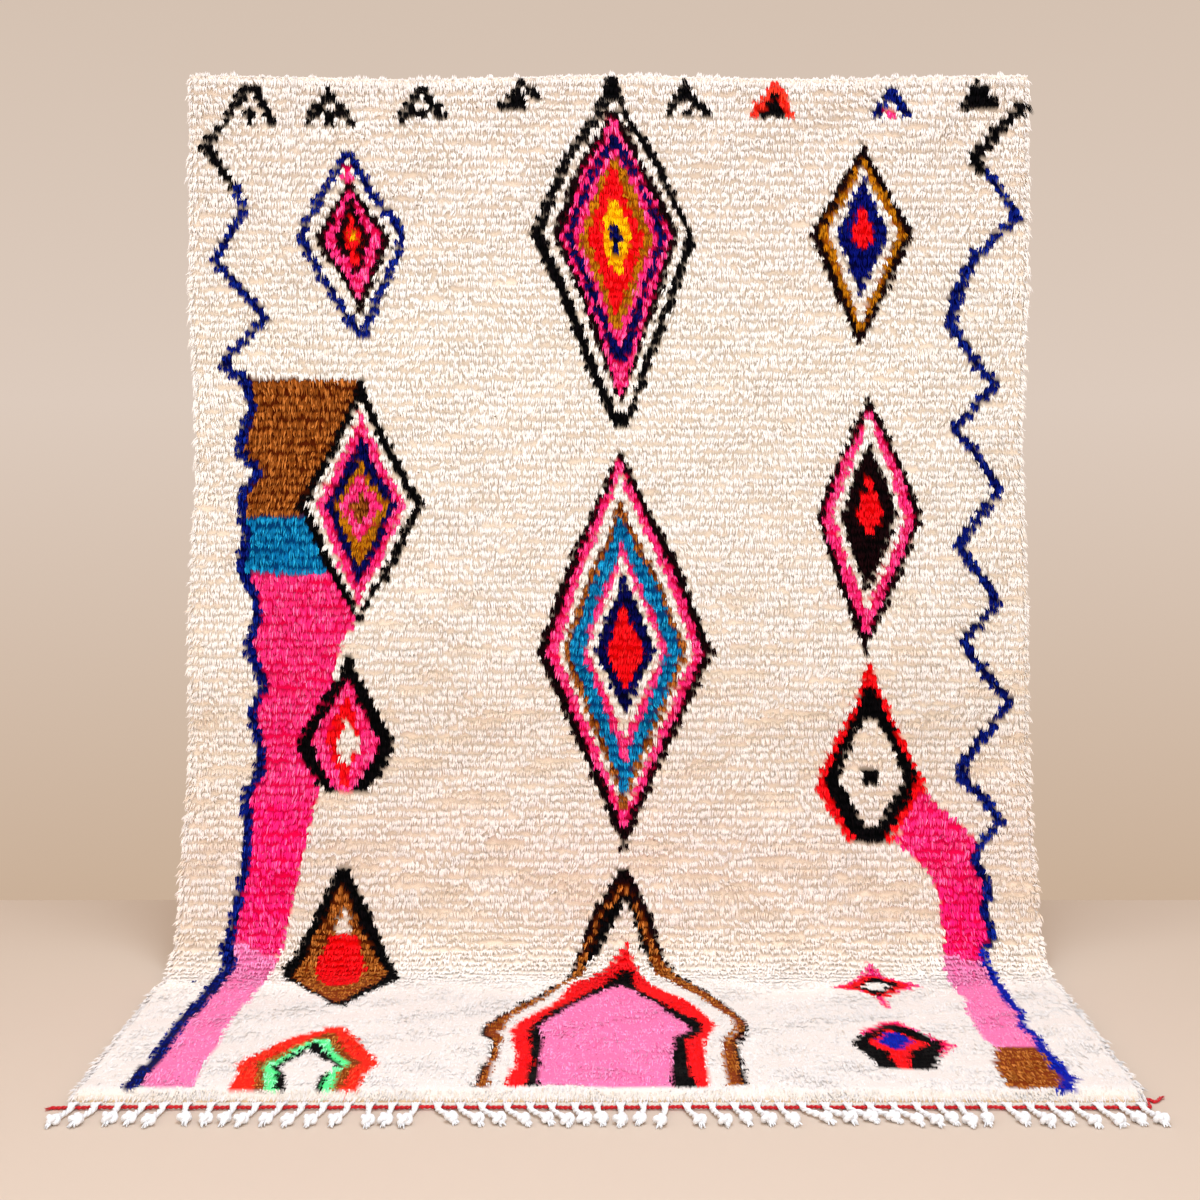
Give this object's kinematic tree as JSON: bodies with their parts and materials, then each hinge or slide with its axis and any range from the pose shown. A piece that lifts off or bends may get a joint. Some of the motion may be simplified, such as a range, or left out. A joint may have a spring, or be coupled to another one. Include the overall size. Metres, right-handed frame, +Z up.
{
  "type": "hanging knotted-pile wool rug with a knotted fringe",
  "caption": "Long-pile cream wool rug, hung by its top edge and lying forward on the floor, with bright diamonds, zigzags and a knotted cotton fringe.",
  "frame": {"origin": "middle of the top edge, on the back of the woven ground, where the rug is held", "axes": "+X to the right across the width, seen from the pile side; +Y out of the back; +Z up"},
  "size_m": [2.0824, 1.0887, 2.1078],
  "materials": {
    "wool_pile": "long hand-spun wool pile, cream, with black, blue, pink, red, brown, ochre, teal, yellow and green motifs",
    "white_cotton": "twisted white cotton warp ends, matt",
    "red_wool": "loosely twisted red wool yarn, matt"
  },
  "bodies": {
    "root": {"field": "wool_pile", "top_locks": "wool_pile", "left_locks_hang": "wool_pile", "left_locks_slope": "wool_pile", "left_locks_bend": "wool_pile", "left_locks_floor": "wool_pile", "right_locks_hang": "wool_pile", "right_locks_slope": "wool_pile", "right_locks_bend": "wool_pile", "right_locks_floor": "wool_pile", "fringe": "white_cotton", "red_cord": "red_wool"}
  },
  "joints": []
}
